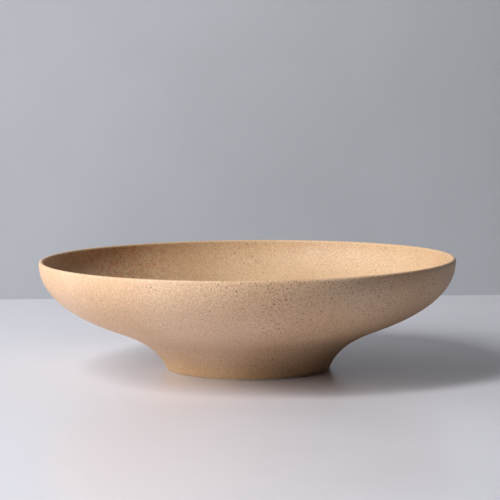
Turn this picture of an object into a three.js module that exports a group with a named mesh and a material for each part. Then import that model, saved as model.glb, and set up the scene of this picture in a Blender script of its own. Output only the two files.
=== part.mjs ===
// Shallow footed bowl in speckled stoneware: a thrown bowl luted to a hollow tapered foot, and glazed.
// Millimetres, +Z up. The origin is on the table, at the centre of the foot.

import * as THREE from 'three';

// Driving dimensions
const RIM_RADIUS = 150;
const HEIGHT = 80.6;
const LIP_RADIUS = 1.6;
const FOOT_RADIUS = 58.9;
const STANDING_WIDTH = 6.7;
const SEAT_HEIGHT = 22;
const FLOOR_HEIGHT = 28.5;
const GLAZE_THICKNESS = 0.6;
const FIT_GAP = 0.3;
const SLIP_THICKNESS = 0.8;
const DRY_EDGE_HEIGHT = 1.3;

// Facets round the axis, a multiple of four so that the rim reaches its full radius on both axes
const FACETS = 64;
const LOWER_STEPS = 8;
const CLAY_STEPS = 6;
const UPPER_STEPS = 10;
const LIP_STEPS = 4;
const INSIDE_STEPS = 12;
const FILLET_STEPS = 5;

// Distance from a glazed surface to the clay behind it
const CLAY_DEPTH = GLAZE_THICKNESS + FIT_GAP;

const LIP_CENTRE = new THREE.Vector2(RIM_RADIUS - LIP_RADIUS, HEIGHT - LIP_RADIUS);

// Outside of the glazed wall: the foot spreads into the bowl in one S-curve, as a radius and a height
const INFLECTION = new THREE.Vector2(104, 33.2);
const LOWER_OUTSIDE = new THREE.CubicBezierCurve(
  new THREE.Vector2(FOOT_RADIUS, 0),
  new THREE.Vector2(66.2, 19.9),
  new THREE.Vector2(89.2, 27.3),
  INFLECTION,
);
const UPPER_OUTSIDE = new THREE.CubicBezierCurve(
  INFLECTION,
  new THREE.Vector2(123.7, 41.2),
  new THREE.Vector2(RIM_RADIUS, 55),
  new THREE.Vector2(RIM_RADIUS, LIP_CENTRE.y),
);

// Inside of the glazed wall, from the lip down to the middle of the floor
const INSIDE = new THREE.CubicBezierCurve(
  new THREE.Vector2(LIP_CENTRE.x - LIP_RADIUS, LIP_CENTRE.y),
  new THREE.Vector2(145.8, 54),
  new THREE.Vector2(112, FLOOR_HEIGHT),
  new THREE.Vector2(0, FLOOR_HEIGHT),
);

// Inner face of the hollow foot: upright near the table, then leaning out under the bowl
const RECESS_RADIUS = FOOT_RADIUS - STANDING_WIDTH;
const RECESS_KNEE = new THREE.Vector2(58.5, 12);
const RECESS_TOP = new THREE.Vector2(66, SEAT_HEIGHT - SLIP_THICKNESS);

// Places the point of a curve at t, moved sideways by depth to the left of the curve's direction
function besideCurve(curve, t, depth) {
  const point = curve.getPoint(t);
  const along = curve.getTangent(t);
  return new THREE.Vector2(point.x - along.y * depth, point.y + along.x * depth);
}

// Samples a curve from tStart to tEnd, moved sideways by depth
function sampleCurve(curve, depth, steps, tStart = 0, tEnd = 1) {
  const points = [];
  for (let i = 0; i <= steps; i += 1) {
    points.push(besideCurve(curve, tStart + (tEnd - tStart) * (i / steps), depth));
  }
  return points;
}

// Finds where a curve moved sideways by depth reaches a height, by halving the range that holds it
function parameterAtHeight(curve, depth, height) {
  const halvings = 50;
  let low = 0;
  let high = 1;
  for (let i = 0; i < halvings; i += 1) {
    const middle = (low + high) / 2;
    if (besideCurve(curve, middle, depth).y < height) {
      low = middle;
    } else {
      high = middle;
    }
  }
  return (low + high) / 2;
}

// Half circle over the lip, from its outside to its inside
function lipArc(radius) {
  const points = [];
  for (let i = 0; i <= LIP_STEPS; i += 1) {
    const angle = Math.PI * (i / LIP_STEPS);
    points.push(new THREE.Vector2(
      LIP_CENTRE.x + radius * Math.cos(angle),
      LIP_CENTRE.y + radius * Math.sin(angle),
    ));
  }
  return points;
}

// Outside of the wall above a height, up to the lip and without the lip's first point
function outsideAbove(height, depth) {
  const start = parameterAtHeight(LOWER_OUTSIDE, depth, height);
  const lower = sampleCurve(LOWER_OUTSIDE, depth, LOWER_STEPS, start, 1);
  const upper = sampleCurve(UPPER_OUTSIDE, depth, UPPER_STEPS);
  return [...lower, ...upper.slice(1, -1)];
}

// Turns a profile of radii and heights about the Z axis
function turned(profile) {
  const geometry = new THREE.LatheGeometry(profile, FACETS);
  geometry.rotateX(Math.PI / 2);
  return geometry;
}

// Turns a closed ring, whose profile comes back to its first point
function turnedRing(profile) {
  return turned([...profile, profile[0].clone()]);
}

function piece(name, geometry, colour, roughness) {
  const material = new THREE.MeshStandardMaterial({ color: colour, roughness, metalness: 0 });
  const mesh = new THREE.Mesh(geometry, material);
  mesh.name = name;
  return mesh;
}

// Thrown bowl: flat seat underneath, wall, rounded lip, and the dished inside
function bowlBody() {
  const seatStart = parameterAtHeight(LOWER_OUTSIDE, CLAY_DEPTH, SEAT_HEIGHT);
  const lower = sampleCurve(LOWER_OUTSIDE, CLAY_DEPTH, CLAY_STEPS, seatStart, 1);
  lower[0].y = SEAT_HEIGHT;
  const upper = sampleCurve(UPPER_OUTSIDE, CLAY_DEPTH, UPPER_STEPS);
  const inside = sampleCurve(INSIDE, CLAY_DEPTH, INSIDE_STEPS);
  inside[INSIDE_STEPS].x = 0;
  return turned([
    new THREE.Vector2(0, SEAT_HEIGHT),
    ...lower,
    ...upper.slice(1, -1),
    ...lipArc(LIP_RADIUS - CLAY_DEPTH),
    ...inside.slice(1),
  ]);
}

// Hollow tapered foot: flat standing edge, bare clay at the table, open underneath
function footRing() {
  const bevel = 0.6;
  const dryTop = LOWER_OUTSIDE.getPoint(parameterAtHeight(LOWER_OUTSIDE, 0, DRY_EDGE_HEIGHT));
  const start = parameterAtHeight(LOWER_OUTSIDE, CLAY_DEPTH, DRY_EDGE_HEIGHT);
  const end = parameterAtHeight(LOWER_OUTSIDE, CLAY_DEPTH, RECESS_TOP.y);
  const wall = sampleCurve(LOWER_OUTSIDE, CLAY_DEPTH, CLAY_STEPS, start, end);
  wall[0].y = dryTop.y;
  wall[wall.length - 1].y = RECESS_TOP.y;
  return turnedRing([
    new THREE.Vector2(RECESS_RADIUS + bevel, 0),
    new THREE.Vector2(FOOT_RADIUS - bevel, 0),
    new THREE.Vector2(FOOT_RADIUS, bevel),
    dryTop,
    ...wall,
    RECESS_TOP,
    RECESS_KNEE,
    new THREE.Vector2(RECESS_RADIUS, bevel),
  ]);
}

// Bed of slip that joins the foot to the seat of the bowl
function lutingSlip() {
  const innerMargin = 1;
  const outerMargin = 2;
  const wall = LOWER_OUTSIDE.getPoint(parameterAtHeight(LOWER_OUTSIDE, 0, RECESS_TOP.y));
  const inner = RECESS_TOP.x + innerMargin;
  const outer = wall.x - outerMargin;
  return turnedRing([
    new THREE.Vector2(inner, RECESS_TOP.y),
    new THREE.Vector2(outer, RECESS_TOP.y),
    new THREE.Vector2(outer, SEAT_HEIGHT),
    new THREE.Vector2(inner, SEAT_HEIGHT),
  ]);
}

// Coil of clay smoothed into the corner between the bowl and the inside of the foot
function seamCoil() {
  const reach = 8;
  const width = 13;
  const hollowing = new THREE.Vector2(1, 2);
  const slope = (RECESS_TOP.x - RECESS_KNEE.x) / (RECESS_TOP.y - RECESS_KNEE.y);
  const sideGap = FIT_GAP * Math.hypot(1, slope);
  const wallAt = (height) => RECESS_TOP.x + (height - RECESS_TOP.y) * slope - sideGap;
  const low = new THREE.Vector2(wallAt(SEAT_HEIGHT - reach), SEAT_HEIGHT - reach);
  const corner = new THREE.Vector2(wallAt(SEAT_HEIGHT), SEAT_HEIGHT);
  const inner = new THREE.Vector2(corner.x - width, SEAT_HEIGHT);
  const hollow = new THREE.Vector2(low.x - hollowing.x, SEAT_HEIGHT - hollowing.y);
  const fillet = new THREE.QuadraticBezierCurve(inner, hollow, low);
  return turnedRing([...fillet.getPoints(FILLET_STEPS), corner]);
}

// Glaze on the inside, from just under the lip down over the floor.
// A cubic curve leaves its first point three times as fast as the length of its first leg.
function linerGlaze() {
  const speedAtLip = 3 * INSIDE.v0.distanceTo(INSIDE.v1);
  const start = FIT_GAP / speedAtLip;
  const face = sampleCurve(INSIDE, 0, INSIDE_STEPS, start, 1);
  const back = sampleCurve(INSIDE, GLAZE_THICKNESS, INSIDE_STEPS, start, 1);
  face[INSIDE_STEPS].x = 0;
  back[INSIDE_STEPS].x = 0;
  return turned([...back.reverse(), ...face]);
}

// Glaze on the outside, from the dry edge at the foot up and over the lip
function outerGlaze() {
  const bottom = DRY_EDGE_HEIGHT + FIT_GAP;
  const face = outsideAbove(bottom, 0);
  const back = outsideAbove(bottom, GLAZE_THICKNESS);
  return turnedRing([
    ...face,
    ...lipArc(LIP_RADIUS),
    ...lipArc(LIP_RADIUS - GLAZE_THICKNESS).reverse(),
    ...back.reverse(),
  ]);
}

const CLAY_COLOUR = 0xc99d72;
const LINER_COLOUR = 0xdcb88c;
const OUTER_COLOUR = 0xdcb895;
const CLAY_ROUGHNESS = 0.9;
const GLAZE_ROUGHNESS = 0.5;

const bowl = new THREE.Group();
bowl.add(
  piece('bowl_body', bowlBody(), CLAY_COLOUR, CLAY_ROUGHNESS),
  piece('foot_ring', footRing(), CLAY_COLOUR, CLAY_ROUGHNESS),
  piece('luting_slip', lutingSlip(), CLAY_COLOUR, CLAY_ROUGHNESS),
  piece('seam_coil', seamCoil(), CLAY_COLOUR, CLAY_ROUGHNESS),
  piece('liner_glaze', linerGlaze(), LINER_COLOUR, GLAZE_ROUGHNESS),
  piece('outer_glaze', outerGlaze(), OUTER_COLOUR, GLAZE_ROUGHNESS),
);

export default bowl;
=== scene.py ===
"""Shallow footed bowl in speckled sand stoneware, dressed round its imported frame.

Metres, +Z up. The origin is on the table, at the centre of the foot.
"""

import math

import bmesh
import bpy
from mathutils import Matrix, Vector


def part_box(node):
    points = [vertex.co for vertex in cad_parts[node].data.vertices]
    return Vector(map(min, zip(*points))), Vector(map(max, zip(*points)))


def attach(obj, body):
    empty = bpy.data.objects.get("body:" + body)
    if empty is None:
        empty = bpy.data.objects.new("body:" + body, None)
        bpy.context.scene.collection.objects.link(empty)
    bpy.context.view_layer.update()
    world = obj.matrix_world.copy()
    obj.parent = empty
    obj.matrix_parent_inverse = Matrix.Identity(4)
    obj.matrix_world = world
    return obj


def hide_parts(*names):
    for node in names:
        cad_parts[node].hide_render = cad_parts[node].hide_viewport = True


bl_info = {
    "name": "Shallow footed bowl",
    "version": (1, 0, 0),
    "blender": (4, 5, 0),
    "location": "3D View > Sidebar > Bowl",
    "description": "Builds a thrown stoneware bowl on a hollow foot, with its glaze and a plain stage",
    "category": "Add Mesh",
}

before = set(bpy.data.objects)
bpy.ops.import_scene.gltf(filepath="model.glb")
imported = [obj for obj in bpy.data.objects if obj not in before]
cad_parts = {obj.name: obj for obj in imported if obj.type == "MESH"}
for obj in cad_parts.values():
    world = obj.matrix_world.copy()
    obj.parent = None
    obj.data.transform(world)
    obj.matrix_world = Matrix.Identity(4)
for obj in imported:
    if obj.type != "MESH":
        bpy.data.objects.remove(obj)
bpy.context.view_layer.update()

MM = 0.001

# Sizes read from the frame
RIM_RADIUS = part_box("outer_glaze")[1].x
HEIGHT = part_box("outer_glaze")[1].z
SEAT_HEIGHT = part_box("bowl_body")[0].z
FOOT_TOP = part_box("foot_ring")[1].z
GLAZE_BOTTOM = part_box("outer_glaze")[0].z
COIL_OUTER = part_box("seam_coil")[1].x
COIL_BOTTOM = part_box("seam_coil")[0].z

# Sizes of the clay and the glaze
LIP_RADIUS = 1.6 * MM
FOOT_RADIUS = 58.9 * MM
STANDING_WIDTH = 6.7 * MM
FLOOR_HEIGHT = 28.5 * MM
GLAZE_THICKNESS = 0.6 * MM
CLAY_DEPTH = 0.9 * MM
DRY_EDGE_HEIGHT = 1.3 * MM
LIP_CENTRE = (RIM_RADIUS - LIP_RADIUS, HEIGHT - LIP_RADIUS)

# Outside and inside of the glazed wall, each point as a radius and a height
INFLECTION = (104 * MM, 33.2 * MM)
LOWER_OUTSIDE = ((FOOT_RADIUS, 0.0), (66.2 * MM, 19.9 * MM), (89.2 * MM, 27.3 * MM), INFLECTION)
UPPER_OUTSIDE = (INFLECTION, (123.7 * MM, 41.2 * MM), (RIM_RADIUS, 55 * MM), (RIM_RADIUS, LIP_CENTRE[1]))
INSIDE = ((LIP_CENTRE[0] - LIP_RADIUS, LIP_CENTRE[1]), (145.8 * MM, 54 * MM), (112 * MM, FLOOR_HEIGHT),
          (0.0, FLOOR_HEIGHT))
RECESS_RADIUS = FOOT_RADIUS - STANDING_WIDTH
RECESS_KNEE = (58.5 * MM, 12 * MM)
RECESS_TOP = (66 * MM, FOOT_TOP)

# Fineness of the turned meshes, and the least angle between faces that shows as an edge
SEGMENTS = 256
CURVE_STEPS = 40
LIP_STEPS = 12
FILLET_STEPS = 16
BEVEL_STEPS = 4
SHARP_ANGLE = math.radians(50)
ON_AXIS = 1e-7
HALVINGS = 50

# How far the hand-thrown rim sinks, and how far it waves up and down
RIM_DROP = 0.3 * MM
RIM_WAVE = 0.25 * MM

# Bevel of the standing edge, and the hollowed coil inside the foot
BEVEL = 0.6 * MM
COIL_WIDTH = 13 * MM
COIL_HOLLOWING = (1 * MM, 2 * MM)

# Grooves that the turning tool left under the bowl
MARKS_INNER = 5 * MM
MARKS_OUTER = 52 * MM
MARKS_SPACING = 4.2 * MM
MARKS_DEPTH = 0.22 * MM
MARKS_STEP = 0.6 * MM

# Specks: cells to a metre, largest radius, and the share of the cells that hold one.
# Then the width of a speck's soft edge as a share of that radius, and how strongly two kinds show.
FINE_SPECKS = (820, 0.44 * MM, 0.90)
MIDDLE_SPECKS = (290, 0.60 * MM, 0.42)
LARGE_SPECKS = (105, 0.76 * MM, 0.24)
CLAY_GROG = (420, 0.35 * MM, 0.40)
SPECK_SOFTNESS = 0.35
FINE_STRENGTH = 0.8
GROG_STRENGTH = 0.6

# Noise, in cells to a metre
GLAZE_CLOUDS = 16
GLAZE_DRIFT = 22
GLAZE_GRIT = 1150
GLAZE_PEEL = 240
GLAZE_SHEEN = 260
RUST_BLOTCHES = 260
CLAY_CLOUDS = 30
CLAY_SAND = 1500
CLAY_GRIT = 1300
CLAY_SHEEN = 300
FLOOR_CLOUDS = 9
BACKDROP_CLOUDS = 5

# Ramps: from a low to a high level of the noise, and what comes out there where it isn't 0 and 1
CLOUD_BAND = (0.35, 0.7)
BLED_BAND = (0.44, 0.58)
GLAZE_GRAIN = (0.32, 0.68, 0.72, 1.23)
GLAZE_DENSITY = (0.35, 0.65, 0.65, 1.0)
GLAZE_ROUGHNESS = (0.3, 0.7, 0.50, 0.64)
CLAY_GRAIN = (0.3, 0.7, 0.80, 1.12)
CLAY_ROUGHNESS = (0.3, 0.7, 0.82, 0.95)
FLOOR_SHADE = (0.3, 0.7, 0.97, 1.0)
BACKDROP_SHADE = (0.3, 0.7, 0.93, 1.0)

# Depth of the relief
GLAZE_GRIT_DEPTH = 0.10 * MM
PEEL_DEPTH = 0.10 * MM
PIT_DEPTH = 0.12 * MM
CLAY_GRIT_DEPTH = 0.12 * MM
GROG_DEPTH = 0.10 * MM

# Specular level of the two surfaces
GLAZE_SPECULAR = 0.5
CLAY_SPECULAR = 0.2

# Where the specks lie thickest, on the bowl's shaded sides, so that the extra specks there are painted
# shade: a place, the reach round it, and how much they grow there.
# Inside the bowl the rust lies in the same place.
INSIDE_RUST_AND_SHADE_SPECKS = ((-0.098, 0.105, 0.072), 0.085, 0.4)
OUTSIDE_SHADE_SPECKS = ((0.075, -0.13, 0.070), 0.16, 0.40)

# Share of rust in the glaze where the iron bled most, and of light in the clay's darker clouds
RUST_SHARE = 0.9
CLAY_SHADE = 0.78

# The photograph's camera, whose frame is 500 pixels square
FRAME_PIXELS = 500
SENSOR_WIDTH = 36.0
FOCAL_PIXELS = 1750.2
CAMERA_PLACE = (1.96 * MM, -1.2607, 0.2027)
CAMERA_PITCH_DOWN = math.radians(5.293)
CAMERA_ROLL = math.radians(-0.516)
NEAREST_SEEN = 0.05
FARTHEST_SEEN = 20

# Half the width of the floor and the backdrop, and their roughness
STAGE_REACH = 4.0
FLOOR_ROUGHNESS = 0.24
BACKDROP_ROUGHNESS = 0.9

# The lights: width and height, turn from the bowl's left toward the camera, and elevation
LIGHT_DISTANCE = 2.0
KEY_SIZE = (0.5, 2.0)
KEY_TURN = math.radians(36)
KEY_ELEVATION = math.radians(37)
SIDE_SIZE = (0.4, 0.4)
SIDE_TURN = math.radians(2)
SIDE_ELEVATION = math.radians(25)


class BowlFinish(bpy.types.PropertyGroup):
    """Colours of the clay and the glaze"""

    outside_sand: bpy.props.FloatVectorProperty(
        name="Outside sand", description="Colour of the glaze outside", subtype="COLOR", size=3,
        min=0, max=1, default=(0.71, 0.485, 0.318))
    outside_warm: bpy.props.FloatVectorProperty(
        name="Outside warm", description="Where the glaze outside lies thicker", subtype="COLOR", size=3,
        min=0, max=1, default=(0.66, 0.425, 0.255))
    # The inside colours are the outside glaze painted darker, as painted shade inside the bowl.
    inside_sand_and_shade: bpy.props.FloatVectorProperty(
        name="Inside sand", description="Colour of the glaze inside", subtype="COLOR", size=3,
        min=0, max=1, default=(0.585, 0.395, 0.236))
    inside_warm_and_shade: bpy.props.FloatVectorProperty(
        name="Inside warm", description="Where the glaze inside lies thicker", subtype="COLOR", size=3,
        min=0, max=1, default=(0.525, 0.34, 0.19))
    # An ochre tint and painted shade together: this colour darkens the outside low on the foot, near the
    # floor.
    foot_tint_and_shade: bpy.props.FloatVectorProperty(
        name="Foot tint", description="Tint of the thinner glaze low on the foot", subtype="COLOR",
        size=3, min=0, max=1, default=(0.92, 0.87, 0.72))
    rust: bpy.props.FloatVectorProperty(
        name="Rust", description="Colour of the glaze where iron bled into it", subtype="COLOR", size=3,
        min=0, max=1, default=(0.52, 0.24, 0.115))
    iron: bpy.props.FloatVectorProperty(
        name="Iron specks", description="Colour of the small iron specks", subtype="COLOR", size=3,
        min=0, max=1, default=(0.165, 0.080, 0.036))
    pit: bpy.props.FloatVectorProperty(
        name="Dark pits", description="Colour of the larger, sunken specks", subtype="COLOR", size=3,
        min=0, max=1, default=(0.085, 0.042, 0.022))
    clay: bpy.props.FloatVectorProperty(
        name="Bare clay", description="Colour of the unglazed clay", subtype="COLOR", size=3,
        min=0, max=1, default=(0.70, 0.57, 0.45))


class BowlStage(bpy.types.PropertyGroup):
    """Floor, backdrop and lights"""

    floor: bpy.props.FloatVectorProperty(
        name="Floor", description="Colour of the floor", subtype="COLOR", size=3, min=0, max=1,
        default=(0.70, 0.69, 0.74))
    backdrop: bpy.props.FloatVectorProperty(
        name="Backdrop", description="Colour of the backdrop", subtype="COLOR", size=3, min=0, max=1,
        default=(0.40, 0.415, 0.445))
    backdrop_distance: bpy.props.FloatProperty(
        name="Backdrop distance", description="From the bowl's axis to the backdrop", default=0.43,
        min=0.2, unit="LENGTH")
    key_power: bpy.props.FloatProperty(
        name="Key light", description="Power of the tall soft light at the left front", default=58, min=0)
    side_power: bpy.props.FloatProperty(
        name="Side light", description="Power of the small soft light at the left", default=8.5, min=0)
    fill: bpy.props.FloatProperty(
        name="Fill", description="Strength of the light from all round", default=0.003, min=0)


def curve_point(controls, t):
    """Point of a cubic curve at t."""
    s = 1 - t
    weights = (s ** 3, 3 * s * s * t, 3 * s * t * t, t ** 3)
    return tuple(sum(w * c[i] for w, c in zip(weights, controls)) for i in range(2))


def curve_along(controls, t):
    """Unit direction of a cubic curve at t."""
    s = 1 - t
    weights = (s * s, 2 * s * t, t * t)
    steps = [(b[0] - a[0], b[1] - a[1]) for a, b in zip(controls, controls[1:])]
    along = [sum(w * c[i] for w, c in zip(weights, steps)) for i in range(2)]
    length = math.hypot(*along)
    return along[0] / length, along[1] / length


def beside(controls, t, depth):
    """Point of a cubic curve at t, moved sideways by depth to the left of its direction."""
    x, z = curve_point(controls, t)
    dx, dz = curve_along(controls, t)
    return x - dz * depth, z + dx * depth


def sampled(controls, depth, steps, start=0.0, end=1.0):
    """Points of a cubic curve from start to end, moved sideways by depth."""
    return [beside(controls, start + (end - start) * i / steps, depth) for i in range(steps + 1)]


def at_height(controls, depth, height):
    """Where on a rising cubic curve, moved sideways by depth, a height is reached."""
    low, high = 0.0, 1.0
    for _ in range(HALVINGS):
        middle = (low + high) / 2
        if beside(controls, middle, depth)[1] < height:
            low = middle
        else:
            high = middle
    return (low + high) / 2


def bent(start, pull, end, t):
    """Point at t of a line from start to end that bends toward a pull point."""
    weights = ((1 - t) ** 2, 2 * t * (1 - t), t * t)
    return tuple(sum(w * p[k] for w, p in zip(weights, (start, pull, end))) for k in range(2))


def lip_arc(radius):
    """Half circle over the lip, from its outside to its inside."""
    angles = [math.pi * i / LIP_STEPS for i in range(LIP_STEPS + 1)]
    return [(LIP_CENTRE[0] + radius * math.cos(a), LIP_CENTRE[1] + radius * math.sin(a)) for a in angles]


def hand_thrown(x, y, z):
    """Moves a point as the potter's hand does: level at the foot, and a little uneven at the rim."""
    share = min(max(z / HEIGHT, 0.0), 1.0) ** 2
    angle = math.atan2(y, x)
    rise = RIM_WAVE * (math.cos(2 * angle) + math.sin(angle)) - RIM_DROP
    return Vector((x, y, z + rise * share))


def add_row(bm, radius, height):
    """Adds a level circle of corners, or a single one where the radius is nothing."""
    if radius < ON_AXIS:
        return [bm.verts.new((0.0, 0.0, height))]
    row = []
    for i in range(SEGMENTS):
        angle = 2 * math.pi * i / SEGMENTS
        x, y = radius * math.cos(angle), radius * math.sin(angle)
        row.append(bm.verts.new(hand_thrown(x, y, height)))
    return row


def join_rows(bm, below, above):
    """Adds the band of faces between two rows, either of which may be a single corner."""
    for i in range(SEGMENTS):
        j = (i + 1) % SEGMENTS
        if len(below) == 1:
            bm.faces.new((below[0], above[j], above[i]))
        elif len(above) == 1:
            bm.faces.new((below[i], below[j], above[0]))
        else:
            bm.faces.new((below[i], below[j], above[j], above[i]))


def turned(name, profile, ring=False):
    """Turns a profile of radii and heights about the Z axis into a smooth closed mesh."""
    mesh = bpy.data.meshes.new(name)
    bm = bmesh.new()
    rows = [add_row(bm, radius, height) for radius, height in profile]
    pairs = list(zip(rows, rows[1:]))
    if ring:
        pairs.append((rows[-1], rows[0]))
    for below, above in pairs:
        join_rows(bm, below, above)
    bmesh.ops.recalc_face_normals(bm, faces=bm.faces)
    for face in bm.faces:
        face.smooth = True
    bm.to_mesh(mesh)
    bm.free()
    mesh.set_sharp_from_angle(angle=SHARP_ANGLE)
    piece = bpy.data.objects.new(name, mesh)
    bpy.context.scene.collection.objects.link(piece)
    return piece


class Shader:
    """A material's node tree, with short calls to add nodes and join them."""

    def __init__(self, name):
        self.material = bpy.data.materials.new(name)
        self.material.use_nodes = True
        self.tree = self.material.node_tree
        self.surface = self.tree.nodes["Principled BSDF"]
        coordinates = self.tree.nodes.new("ShaderNodeTexCoord")
        self.place = coordinates.outputs["Object"]

    def node(self, kind, inputs=(), **settings):
        made = self.tree.nodes.new(kind)
        for key, value in settings.items():
            setattr(made, key, value)
        for key, value in dict(inputs).items():
            if isinstance(value, bpy.types.NodeSocket):
                self.tree.links.new(value, made.inputs[key])
            else:
                made.inputs[key].default_value = value
        return made

    def noise(self, per_metre, detail=2.0, roughness=0.5):
        made = self.node("ShaderNodeTexNoise", {
            "Vector": self.place, "Scale": per_metre, "Detail": detail, "Roughness": roughness})
        return made.outputs["Fac"]

    def math(self, operation, *values, clamp=False):
        made = self.node("ShaderNodeMath", dict(enumerate(values)), operation=operation, use_clamp=clamp)
        return made.outputs[0]

    def ramp(self, value, low, high, out_low=0.0, out_high=1.0):
        made = self.node("ShaderNodeMapRange", {
            "Value": value, "From Min": low, "From Max": high, "To Min": out_low, "To Max": out_high},
            interpolation_type="SMOOTHSTEP")
        return made.outputs["Result"]

    def mix(self, share, first, second, blend="MIX"):
        made = self.node("ShaderNodeMix", data_type="RGBA", blend_type=blend)
        for socket, value in ((made.inputs[0], share), (made.inputs[6], first), (made.inputs[7], second)):
            if isinstance(value, bpy.types.NodeSocket):
                self.tree.links.new(value, socket)
            else:
                socket.default_value = value
        return made.outputs[2]

    def specks(self, per_metre, largest, share, density=1.0):
        """Round specks, one to a cell, up to largest in radius, in that share of the cells."""
        cells = self.node("ShaderNodeTexVoronoi", {
            "Vector": self.place, "Scale": per_metre, "Randomness": 1.0}, feature="F1")
        pick = self.node("ShaderNodeSeparateColor", {"Color": cells.outputs["Color"]}).outputs[0]
        grown = self.ramp(pick, 1 - share, 1.0, 0.0, largest * per_metre)
        radius = self.math("MULTIPLY", grown, density)
        edge = self.math("SUBTRACT", radius, cells.outputs["Distance"])
        return self.math("MULTIPLY", edge, 1 / (SPECK_SOFTNESS * largest * per_metre), clamp=True)

    def vector(self, operation, first, second=(0.0, 0.0, 0.0)):
        return self.node("ShaderNodeVectorMath", {0: first, 1: second}, operation=operation).outputs

    def height(self):
        return self.node("ShaderNodeSeparateXYZ", {"Vector": self.place}).outputs["Z"]

    def radius(self):
        """Distance from the bowl's axis."""
        level = self.vector("MULTIPLY", self.place, (1.0, 1.0, 0.0))["Vector"]
        return self.vector("LENGTH", level)["Value"]

    def patch(self, centre, radius):
        """1 at a place on the bowl, falling to 0 at a radius from it."""
        away = self.vector("DISTANCE", self.place, centre)["Value"]
        return self.ramp(away, 0.0, radius, 1.0, 0.0)

    def bump(self, height, depth, below=None):
        inputs = {"Height": height, "Distance": depth, "Strength": 1.0}
        if below is not None:
            inputs["Normal"] = below
        return self.node("ShaderNodeBump", inputs).outputs["Normal"]

    def join(self, value, socket):
        self.tree.links.new(value, self.surface.inputs[socket])


def colour(rgb):
    """A colour with full alpha."""
    return (*rgb, 1.0)


def glaze_colours(shader, sand, warm):
    """Soft clouds from the sand colour to the warmer one."""
    clouds = shader.ramp(shader.noise(GLAZE_CLOUDS, detail=3), *CLOUD_BAND)
    return shader.mix(clouds, colour(sand), colour(warm))


def outside_colours(shader, finish):
    """Outside colours, with an ochre tint and painted shade low on the foot, and the inside's darker
    colour, which is painted shade, on the inner half of the lip.
    """
    base = glaze_colours(shader, finish.outside_sand, finish.outside_warm)
    # Painted shade: the outside glaze is darkened and tinted ochre low on the foot, near the floor.
    low = shader.ramp(shader.height(), GLAZE_BOTTOM, SEAT_HEIGHT, 1.0, 0.0)
    base = shader.mix(low, base, colour(finish.foot_tint_and_shade), blend="MULTIPLY")
    # The inner half of the lip takes the inside's darker colour, which is painted shade.
    near_top = shader.ramp(shader.height(), HEIGHT - 2 * LIP_RADIUS, HEIGHT - LIP_RADIUS)
    inner_half = shader.ramp(shader.radius(), LIP_CENTRE[0] - LIP_RADIUS, RIM_RADIUS, 1.0, 0.0)
    turn = shader.math("MULTIPLY", near_top, inner_half)
    return shader.mix(turn, base, colour(finish.inside_sand_and_shade))


def inside_colours(shader, finish):
    """Inside colours, painted darker than the same glaze outside as painted shade inside the bowl, with
    rust where the iron bled into the glaze.
    """
    bled_at, reach, _ = INSIDE_RUST_AND_SHADE_SPECKS
    base = glaze_colours(shader, finish.inside_sand_and_shade, finish.inside_warm_and_shade)
    bled = shader.ramp(shader.noise(RUST_BLOTCHES, detail=4, roughness=0.8), *BLED_BAND)
    bled = shader.math("MULTIPLY", bled, shader.patch(bled_at, reach))
    return shader.mix(shader.math("MULTIPLY", bled, RUST_SHARE), base, colour(finish.rust))


def speckled_glaze(shader, base, finish, dense):
    """Satin-matt glaze over base colours: a gritty grain, fine iron specks and dark pits, lying thicker
    on the shaded side as painted shade.
    """
    shade_specks_at, reach, gain = dense
    grit_noise = shader.noise(GLAZE_GRIT, detail=3, roughness=0.8)
    grain = shader.ramp(grit_noise, *GLAZE_GRAIN)
    base = shader.mix(1.0, base, grain, blend="MULTIPLY")
    drift = shader.ramp(shader.noise(GLAZE_DRIFT, detail=2), *GLAZE_DENSITY)
    # The specks grow thicker in the patch on the shaded side: painted shade.
    shade_growth = shader.math("MULTIPLY", shader.patch(shade_specks_at, reach), gain)
    density = shader.math("ADD", drift, shade_growth)
    fine = shader.specks(*FINE_SPECKS, density)
    middle = shader.specks(*MIDDLE_SPECKS, density)
    large = shader.specks(*LARGE_SPECKS, density)
    base = shader.mix(shader.math("MULTIPLY", fine, FINE_STRENGTH), base, colour(finish.iron))
    base = shader.mix(middle, base, colour(finish.pit))
    base = shader.mix(large, base, colour(finish.pit))
    shader.join(base, "Base Color")
    shader.join(shader.ramp(shader.noise(GLAZE_SHEEN, detail=2), *GLAZE_ROUGHNESS), "Roughness")
    grit = shader.bump(grit_noise, GLAZE_GRIT_DEPTH)
    orange_peel = shader.bump(shader.noise(GLAZE_PEEL, detail=1), PEEL_DEPTH, grit)
    pits = shader.math("MULTIPLY", shader.math("MAXIMUM", large, middle), -1.0)
    shader.join(shader.bump(pits, PIT_DEPTH, orange_peel), "Normal")
    shader.surface.inputs["Specular IOR Level"].default_value = GLAZE_SPECULAR


def bare_clay(name, finish):
    """Unglazed fired stoneware: dry, gritty, with small dark grog."""
    shader = Shader(name)
    dark = tuple(CLAY_SHADE * c for c in finish.clay)
    clouds = shader.ramp(shader.noise(CLAY_CLOUDS, detail=3), *CLOUD_BAND)
    base = shader.mix(clouds, colour(finish.clay), colour(dark))
    grain = shader.ramp(shader.noise(CLAY_SAND, detail=2, roughness=0.7), *CLAY_GRAIN)
    base = shader.mix(1.0, base, grain, blend="MULTIPLY")
    grog = shader.specks(*CLAY_GROG)
    base = shader.mix(shader.math("MULTIPLY", grog, GROG_STRENGTH), base, colour(finish.iron))
    shader.join(base, "Base Color")
    shader.join(shader.ramp(shader.noise(CLAY_SHEEN), *CLAY_ROUGHNESS), "Roughness")
    grit = shader.bump(shader.noise(CLAY_GRIT, detail=3, roughness=0.65), CLAY_GRIT_DEPTH)
    shader.join(shader.bump(shader.math("MULTIPLY", grog, -1.0), GROG_DEPTH, grit), "Normal")
    shader.surface.inputs["Specular IOR Level"].default_value = CLAY_SPECULAR
    return shader.material


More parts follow.
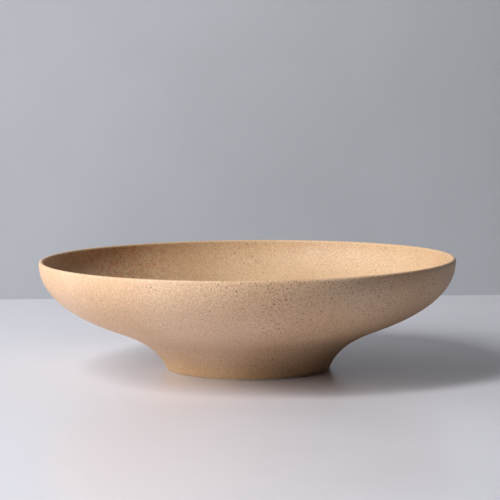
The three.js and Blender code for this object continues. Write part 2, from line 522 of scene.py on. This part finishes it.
def clay_material():
    """The bare clay, made once and shared by every piece of clay."""
    name = "bare clay"
    return bpy.data.materials.get(name) or bare_clay(name, bpy.context.scene.bowl_finish)


def dress(piece, material, node):
    """Gives a piece its material, hangs it under the root body and hides the frame node it stands for."""
    piece.data.materials.append(material)
    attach(piece, "root")
    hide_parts(node)


def turning_marks(radius):
    """Depth of the grooves that the turning tool left under the bowl."""
    if not MARKS_INNER < radius < MARKS_OUTER:
        return 0.0
    out = radius - MARKS_INNER
    fade = math.sqrt(math.sin(math.pi * out / (MARKS_OUTER - MARKS_INNER)))
    return MARKS_DEPTH * fade * (1 - math.cos(2 * math.pi * out / MARKS_SPACING)) / 2


class BOWL_OT_clay_body(bpy.types.Operator):
    """Thrown bowl: flat seat underneath with turning marks, wall, rounded lip and dished inside"""

    bl_idname = "bowl.clay_body"
    bl_label = "Clay body"

    def execute(self, context):
        start = at_height(LOWER_OUTSIDE, CLAY_DEPTH, SEAT_HEIGHT)
        seat_edge = beside(LOWER_OUTSIDE, start, CLAY_DEPTH)[0]
        steps = int(seat_edge / MARKS_STEP)
        radii = [seat_edge * i / steps for i in range(steps)]
        under = [(r, SEAT_HEIGHT + turning_marks(r)) for r in radii]
        profile = [
            *under,
            *sampled(LOWER_OUTSIDE, CLAY_DEPTH, CURVE_STEPS, start, 1),
            *sampled(UPPER_OUTSIDE, CLAY_DEPTH, CURVE_STEPS)[1:-1],
            *lip_arc(LIP_RADIUS - CLAY_DEPTH),
            *sampled(INSIDE, CLAY_DEPTH, CURVE_STEPS)[1:-1],
            (0.0, FLOOR_HEIGHT - CLAY_DEPTH),
        ]
        dress(turned("thrown_body", profile), clay_material(), "bowl_body")
        return {"FINISHED"}


class BOWL_OT_foot(bpy.types.Operator):
    """Hollow tapered foot with a flat standing edge of bare clay"""

    bl_idname = "bowl.foot"
    bl_label = "Foot"

    def execute(self, context):
        dry_top = beside(LOWER_OUTSIDE, at_height(LOWER_OUTSIDE, 0, DRY_EDGE_HEIGHT), 0)
        start = at_height(LOWER_OUTSIDE, CLAY_DEPTH, DRY_EDGE_HEIGHT)
        end = at_height(LOWER_OUTSIDE, CLAY_DEPTH, FOOT_TOP)
        quarter = [math.pi / 2 * i / BEVEL_STEPS for i in range(BEVEL_STEPS + 1)]
        inner_bevel = [
            (RECESS_RADIUS + BEVEL - BEVEL * math.cos(a), BEVEL - BEVEL * math.sin(a)) for a in quarter]
        outer_bevel = [
            (FOOT_RADIUS - BEVEL + BEVEL * math.sin(a), BEVEL - BEVEL * math.cos(a)) for a in quarter]
        profile = [
            *inner_bevel,
            *outer_bevel,
            dry_top,
            *sampled(LOWER_OUTSIDE, CLAY_DEPTH, CURVE_STEPS, start, end),
            RECESS_TOP,
            RECESS_KNEE,
        ]
        dress(turned("turned_foot", profile, ring=True), clay_material(), "foot_ring")
        return {"FINISHED"}


class BOWL_OT_seam(bpy.types.Operator):
    """Slip bed between foot and bowl, and the coil smoothed into the corner inside the foot"""

    bl_idname = "bowl.seam"
    bl_label = "Seam"

    def execute(self, context):
        reach = SEAT_HEIGHT - COIL_BOTTOM
        slope = (RECESS_TOP[0] - RECESS_KNEE[0]) / (RECESS_TOP[1] - RECESS_KNEE[1])
        corner = (COIL_OUTER, SEAT_HEIGHT)
        low = (COIL_OUTER - reach * slope, COIL_BOTTOM)
        inner = (COIL_OUTER - COIL_WIDTH, SEAT_HEIGHT)
        hollow = (low[0] - COIL_HOLLOWING[0], SEAT_HEIGHT - COIL_HOLLOWING[1])
        fillet = [bent(inner, hollow, low, i / FILLET_STEPS) for i in range(FILLET_STEPS + 1)]
        coil = turned("smoothed_coil", [*fillet, corner], ring=True)
        dress(coil, clay_material(), "seam_coil")
        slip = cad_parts["luting_slip"]
        slip.data.materials.clear()
        slip.data.materials.append(clay_material())
        return {"FINISHED"}


def inside_skin():
    """Profile of the glaze inside, from its back up to the lip and down its face."""
    face = sampled(INSIDE, 0, 2 * CURVE_STEPS)[:-1]
    back = sampled(INSIDE, GLAZE_THICKNESS, 2 * CURVE_STEPS)[:-1]
    return [(0.0, FLOOR_HEIGHT - GLAZE_THICKNESS), *reversed(back), *face, (0.0, FLOOR_HEIGHT)]


def outside_skin():
    """Profile of the glaze outside, up its face, over the lip and down its back."""
    start = at_height(LOWER_OUTSIDE, 0, GLAZE_BOTTOM)
    start_back = at_height(LOWER_OUTSIDE, GLAZE_THICKNESS, GLAZE_BOTTOM)
    lower_back = sampled(LOWER_OUTSIDE, GLAZE_THICKNESS, CURVE_STEPS, start_back, 1)
    upper_back = sampled(UPPER_OUTSIDE, GLAZE_THICKNESS, CURVE_STEPS)[1:-1]
    return [
        *sampled(LOWER_OUTSIDE, 0, CURVE_STEPS, start, 1),
        *sampled(UPPER_OUTSIDE, 0, CURVE_STEPS)[1:-1],
        *lip_arc(LIP_RADIUS),
        *reversed(lip_arc(LIP_RADIUS - GLAZE_THICKNESS)),
        *reversed(upper_back),
        *reversed(lower_back),
    ]


class BOWL_OT_glaze(bpy.types.Operator):
    """Glaze inside the bowl, and glaze outside from the dry edge up and over the lip"""

    bl_idname = "bowl.glaze"
    bl_label = "Glaze"

    def execute(self, context):
        finish = context.scene.bowl_finish
        liner = Shader("sand glaze inside")
        speckled_glaze(liner, inside_colours(liner, finish), finish, INSIDE_RUST_AND_SHADE_SPECKS)
        inside = turned("inside_glaze", inside_skin())
        dress(inside, liner.material, "liner_glaze")
        outer = Shader("sand glaze outside")
        speckled_glaze(outer, outside_colours(outer, finish), finish, OUTSIDE_SHADE_SPECKS)
        outside = turned("outside_glaze", outside_skin(), ring=True)
        dress(outside, outer.material, "outer_glaze")
        return {"FINISHED"}


def plain_sheet(name, corners, material):
    """One flat face of the stage."""
    mesh = bpy.data.meshes.new(name)
    mesh.from_pydata(corners, [], [tuple(range(len(corners)))])
    mesh.materials.append(material)
    sheet = bpy.data.objects.new(name, mesh)
    bpy.context.scene.collection.objects.link(sheet)
    return sheet


def floor_material(rgb):
    """A pale, smooth table with a soft reflection."""
    shader = Shader("pale floor")
    soft = shader.ramp(shader.noise(FLOOR_CLOUDS, detail=3), *FLOOR_SHADE)
    shader.join(shader.mix(1.0, colour(rgb), soft, blend="MULTIPLY"), "Base Color")
    shader.surface.inputs["Roughness"].default_value = FLOOR_ROUGHNESS
    return shader.material


def backdrop_material(rgb):
    """A pale sheet that is seen only from the front, so that a view from behind looks through it."""
    shader = Shader("pale backdrop")
    soft = shader.ramp(shader.noise(BACKDROP_CLOUDS, detail=4), *BACKDROP_SHADE)
    shader.join(shader.mix(1.0, colour(rgb), soft, blend="MULTIPLY"), "Base Color")
    shader.surface.inputs["Roughness"].default_value = BACKDROP_ROUGHNESS
    behind = shader.node("ShaderNodeNewGeometry").outputs["Backfacing"]
    clear = shader.node("ShaderNodeBsdfTransparent").outputs[0]
    front = shader.surface.outputs[0]
    seen = shader.node("ShaderNodeMixShader", {0: behind, 1: front, 2: clear}).outputs[0]
    output = shader.tree.nodes["Material Output"]
    shader.tree.links.new(seen, output.inputs["Surface"])
    return shader.material


class BOWL_OT_stage(bpy.types.Operator):
    """Pale floor and backdrop, two soft lights at the left, a faint fill and the camera"""

    bl_idname = "bowl.stage"
    bl_label = "Stage"

    def execute(self, context):
        stage = context.scene.bowl_stage
        reach = STAGE_REACH
        back = stage.backdrop_distance
        level = [(-reach, -reach, 0), (reach, -reach, 0), (reach, reach, 0), (-reach, reach, 0)]
        upright = [(-reach, back, 0), (reach, back, 0), (reach, back, reach), (-reach, back, reach)]
        plain_sheet("floor", level, floor_material(stage.floor))
        plain_sheet("backdrop", upright, backdrop_material(stage.backdrop))
        self.add_light("key", stage.key_power, KEY_SIZE, KEY_TURN, KEY_ELEVATION)
        self.add_light("side", stage.side_power, SIDE_SIZE, SIDE_TURN, SIDE_ELEVATION)
        self.add_fill(stage)
        self.add_camera()
        context.scene.view_settings.view_transform = "Standard"
        return {"FINISHED"}

    def add_light(self, name, power, size, turn, elevation):
        """A soft light that faces the bowl from the left, turned toward the camera."""
        light = bpy.data.lights.new(name, "AREA")
        light.shape = "RECTANGLE"
        light.energy = power
        light.size, light.size_y = size
        lamp = bpy.data.objects.new(name, light)
        direction = Vector((
            -math.cos(turn) * math.cos(elevation),
            -math.sin(turn) * math.cos(elevation),
            math.sin(elevation)))
        lamp.location = direction * LIGHT_DISTANCE + Vector((0, 0, HEIGHT / 2))
        lamp.rotation_mode = "QUATERNION"
        lamp.rotation_quaternion = direction.to_track_quat("Z", "Y")
        bpy.context.scene.collection.objects.link(lamp)

    def add_fill(self, stage):
        world = bpy.data.worlds.new("even fill")
        world.use_nodes = True
        background = world.node_tree.nodes["Background"]
        background.inputs["Color"].default_value = (1.0, 1.0, 1.0, 1.0)
        background.inputs["Strength"].default_value = stage.fill
        bpy.context.scene.world = world

    def add_camera(self):
        lens = bpy.data.cameras.new("camera")
        lens.sensor_width = SENSOR_WIDTH
        lens.lens = FOCAL_PIXELS / FRAME_PIXELS * SENSOR_WIDTH
        lens.clip_start = NEAREST_SEEN
        lens.clip_end = FARTHEST_SEEN
        camera = bpy.data.objects.new("camera", lens)
        pitch = Matrix.Rotation(math.pi / 2 - CAMERA_PITCH_DOWN, 4, "X")
        roll = Matrix.Rotation(CAMERA_ROLL, 4, "Z")
        camera.matrix_world = Matrix.Translation(CAMERA_PLACE) @ pitch @ roll
        bpy.context.scene.collection.objects.link(camera)
        bpy.context.scene.camera = camera


class BOWL_PT_maker(bpy.types.Panel):
    """Sidebar panel with the bowl's pieces, finish and stage"""

    bl_idname = "BOWL_PT_maker"
    bl_label = "Shallow bowl"
    bl_space_type = "VIEW_3D"
    bl_region_type = "UI"
    bl_category = "Bowl"

    def draw(self, context):
        layout = self.layout
        for step in STEPS:
            layout.operator(step.bl_idname)
        for settings in (context.scene.bowl_finish, context.scene.bowl_stage):
            for key in settings.__annotations__:
                layout.prop(settings, key)


STEPS = (BOWL_OT_clay_body, BOWL_OT_foot, BOWL_OT_seam, BOWL_OT_glaze, BOWL_OT_stage)
CLASSES = (BowlFinish, BowlStage, *STEPS, BOWL_PT_maker)


def register():
    for item in CLASSES:
        bpy.utils.register_class(item)
    bpy.types.Scene.bowl_finish = bpy.props.PointerProperty(type=BowlFinish)
    bpy.types.Scene.bowl_stage = bpy.props.PointerProperty(type=BowlStage)


def unregister():
    del bpy.types.Scene.bowl_stage
    del bpy.types.Scene.bowl_finish
    for item in reversed(CLASSES):
        bpy.utils.unregister_class(item)


def main():
    register()
    bpy.ops.bowl.clay_body()
    bpy.ops.bowl.foot()
    bpy.ops.bowl.seam()
    bpy.ops.bowl.glaze()
    bpy.ops.bowl.stage()


if __name__ == "__main__":
    main()
